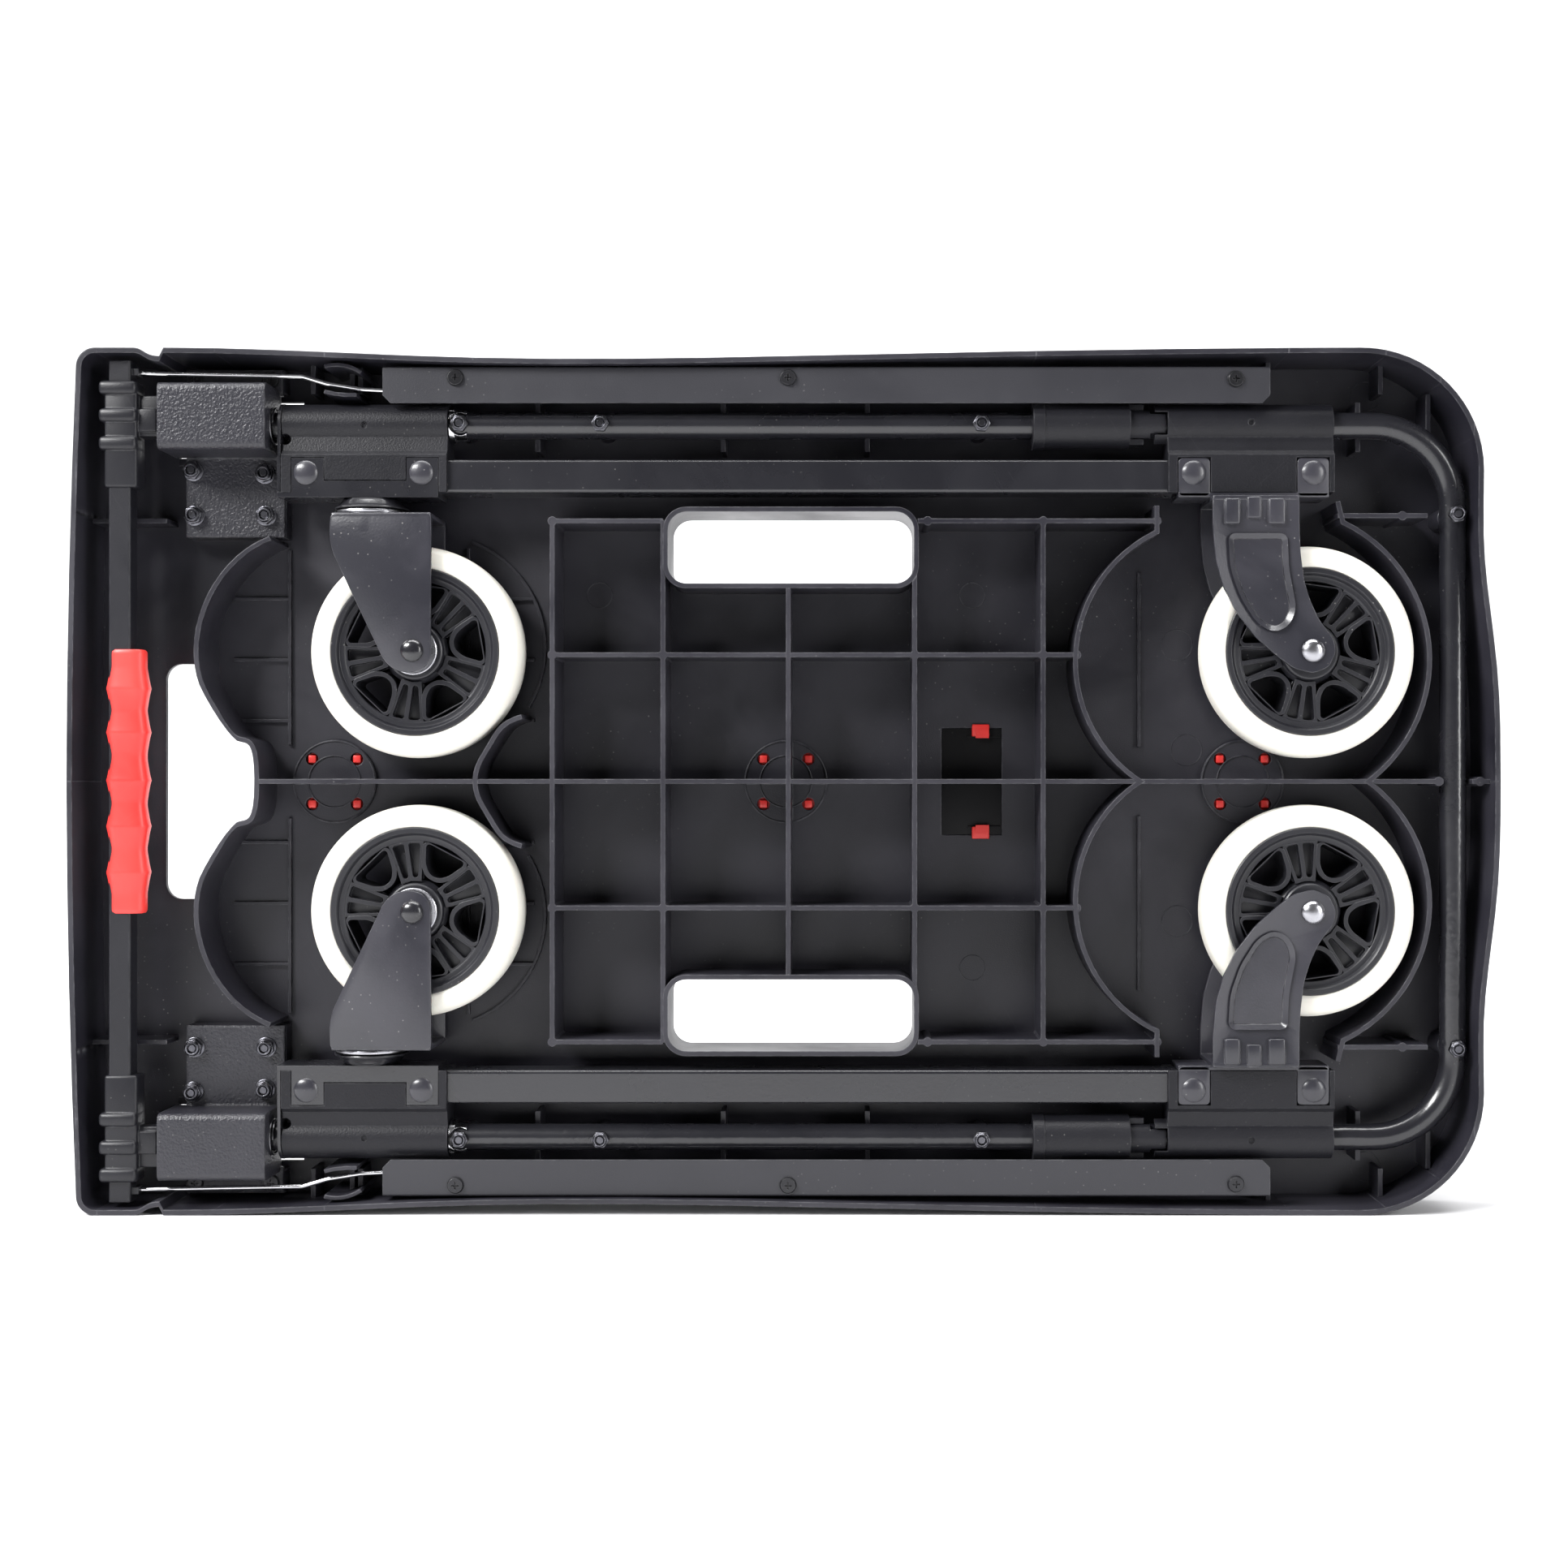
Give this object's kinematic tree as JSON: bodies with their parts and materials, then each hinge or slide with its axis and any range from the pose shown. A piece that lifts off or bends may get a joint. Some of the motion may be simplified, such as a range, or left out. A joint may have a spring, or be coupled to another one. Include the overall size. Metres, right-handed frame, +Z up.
{
  "type": "folding platform cart",
  "caption": "Flat moulded platform cart with hinged caster beams folded under the deck, a pull-bar release and a telescoping handle folded on the load side.",
  "frame": {"origin": "under the middle of the folded cart as it stands on one long edge", "axes": "+X along the deck, from the handle end to the rounded end; +Y from the underside, with the folded wheels, to the load side; +Z up across the deck's width"},
  "size_m": [0.681, 0.0733, 0.412],
  "materials": {
    "deck_plastic": "moulded charcoal plastic with a fine grain",
    "bar_plastic": "moulded dark grey plastic",
    "sleeve_plastic": "moulded black plastic with a fine grain",
    "hub_plastic": "smooth moulded black plastic",
    "red_plastic": "smooth red plastic",
    "painted_steel": "black satin paint on pressed and tubular steel",
    "housing_steel": "black textured powder coat on pressed steel",
    "cover_steel": "black satin paint on a folded steel angle",
    "chrome": "bright chrome plate",
    "zinc": "bright zinc-plated steel",
    "dark_zinc": "dark zinc-plated steel",
    "black_screw": "black zinc on steel",
    "spring_steel": "oiled spring steel",
    "tyre": "ivory-white elastomer tread",
    "aluminium": "satin anodised aluminium",
    "grip_rubber": "soft black grip rubber"
  },
  "bodies": {
    "deck": {"deck_plate": "deck_plastic", "deck_skirt": "deck_plastic", "deck_wells": "deck_plastic", "deck_ribs": "deck_plastic", "grip_pads": "red_plastic", "handle_clip": "red_plastic", "frame_tube": "painted_steel", "tube_screws": "dark_zinc", "tube_collars": "chrome", "hinge_housings": "housing_steel", "housing_bolts": "dark_zinc", "deck_screws": "black_screw", "handle_hinge_pins": "zinc", "rod_covers": "cover_steel", "hinge_springs": "spring_steel"},
    "release": {"release_bar": "bar_plastic", "release_grip": "red_plastic", "latch_blocks": "bar_plastic", "pull_rods": "chrome", "lock_sleeves": "sleeve_plastic"},
    "upper_wheel_beam": {"upper_front_sleeve": "sleeve_plastic", "upper_rear_sleeve": "sleeve_plastic", "upper_beam_tube": "painted_steel", "upper_swivel_saddle": "painted_steel", "upper_kingpin": "painted_steel", "upper_rigid_fork": "painted_steel", "upper_beam_rivets": "painted_steel", "upper_rear_axle": "zinc"},
    "upper_swivel": {"upper_swivel_fork": "painted_steel", "upper_swivel_race": "zinc", "upper_front_axle": "zinc"},
    "upper_front_wheel": {"upper_front_tyre": "tyre", "upper_front_hub": "hub_plastic"},
    "upper_rear_wheel": {"upper_rear_tyre": "tyre", "upper_rear_hub": "hub_plastic"},
    "lower_wheel_beam": {"lower_front_sleeve": "sleeve_plastic", "lower_rear_sleeve": "sleeve_plastic", "lower_beam_tube": "painted_steel", "lower_swivel_saddle": "painted_steel", "lower_kingpin": "painted_steel", "lower_rigid_fork": "painted_steel", "lower_beam_rivets": "painted_steel", "lower_rear_axle": "zinc"},
    "lower_swivel": {"lower_swivel_fork": "painted_steel", "lower_swivel_race": "zinc", "lower_front_axle": "zinc"},
    "lower_front_wheel": {"lower_front_tyre": "tyre", "lower_front_hub": "hub_plastic"},
    "lower_rear_wheel": {"lower_rear_tyre": "tyre", "lower_rear_hub": "hub_plastic"},
    "handle": {"handle_legs": "painted_steel", "handle_feet": "sleeve_plastic", "leg_collars": "sleeve_plastic"},
    "handle_middle": {"middle_tubes": "painted_steel", "middle_collars": "sleeve_plastic"},
    "handle_top": {"inner_tubes": "aluminium", "handle_crossbar": "sleeve_plastic", "handle_grip": "grip_rubber"},
    "handle_button": {"release_button": "red_plastic"}
  },
  "joints": [
    {"name": "release_pull", "type": "slide", "parent": "deck", "child": "release", "axis": [-1, 0, 0], "range_m": [0, 0.006], "stiffness_N_per_m": 900, "springref_m": -0.006},
    {"name": "upper_beam_fold", "type": "hinge", "parent": "deck", "child": "upper_wheel_beam", "pos_m": [0, -0.01575, 0.3774], "axis": [-1, 0, 0], "range_deg": [0, 90]},
    {"name": "upper_swivel_turn", "type": "hinge", "parent": "upper_wheel_beam", "child": "upper_swivel", "pos_m": [-0.199, -0.01575, 0.306], "axis": [0, 0, -1], "range_deg": [-4, 24]},
    {"name": "upper_front_wheel_spin", "type": "hinge", "parent": "upper_swivel", "child": "upper_front_wheel", "pos_m": [-0.176, -0.01575, 0.268], "axis": [0, 1, 0], "continuous": true},
    {"name": "upper_rear_wheel_spin", "type": "hinge", "parent": "upper_wheel_beam", "child": "upper_rear_wheel", "pos_m": [0.251, -0.01575, 0.268], "axis": [0, 1, 0], "continuous": true},
    {"name": "lower_beam_fold", "type": "hinge", "parent": "deck", "child": "lower_wheel_beam", "pos_m": [0, -0.01575, 0.0346], "axis": [1, 0, 0], "range_deg": [0, 90]},
    {"name": "lower_swivel_turn", "type": "hinge", "parent": "lower_wheel_beam", "child": "lower_swivel", "pos_m": [-0.199, -0.01575, 0.106], "axis": [0, 0, -1], "range_deg": [-4, 24]},
    {"name": "lower_front_wheel_spin", "type": "hinge", "parent": "lower_swivel", "child": "lower_front_wheel", "pos_m": [-0.176, -0.01575, 0.144], "axis": [0, 1, 0], "continuous": true},
    {"name": "lower_rear_wheel_spin", "type": "hinge", "parent": "lower_wheel_beam", "child": "lower_rear_wheel", "pos_m": [0.251, -0.01575, 0.144], "axis": [0, 1, 0], "continuous": true},
    {"name": "handle_fold", "type": "hinge", "parent": "deck", "child": "handle", "pos_m": [-0.256, 0.00225, 0.206], "axis": [0, 0, 1], "range_deg": [0, 90]},
    {"name": "middle_stage_slide", "type": "slide", "parent": "handle", "child": "handle_middle", "axis": [1, 0, 0], "range_m": [0, 0.23]},
    {"name": "top_stage_slide", "type": "slide", "parent": "handle_middle", "child": "handle_top", "axis": [1, 0, 0], "range_m": [0, 0.23]},
    {"name": "button_press", "type": "slide", "parent": "handle_top", "child": "handle_button", "axis": [-1, 0, 0], "range_m": [0, 0.0024], "stiffness_N_per_m": 700, "springref_m": -0.001}
  ]
}
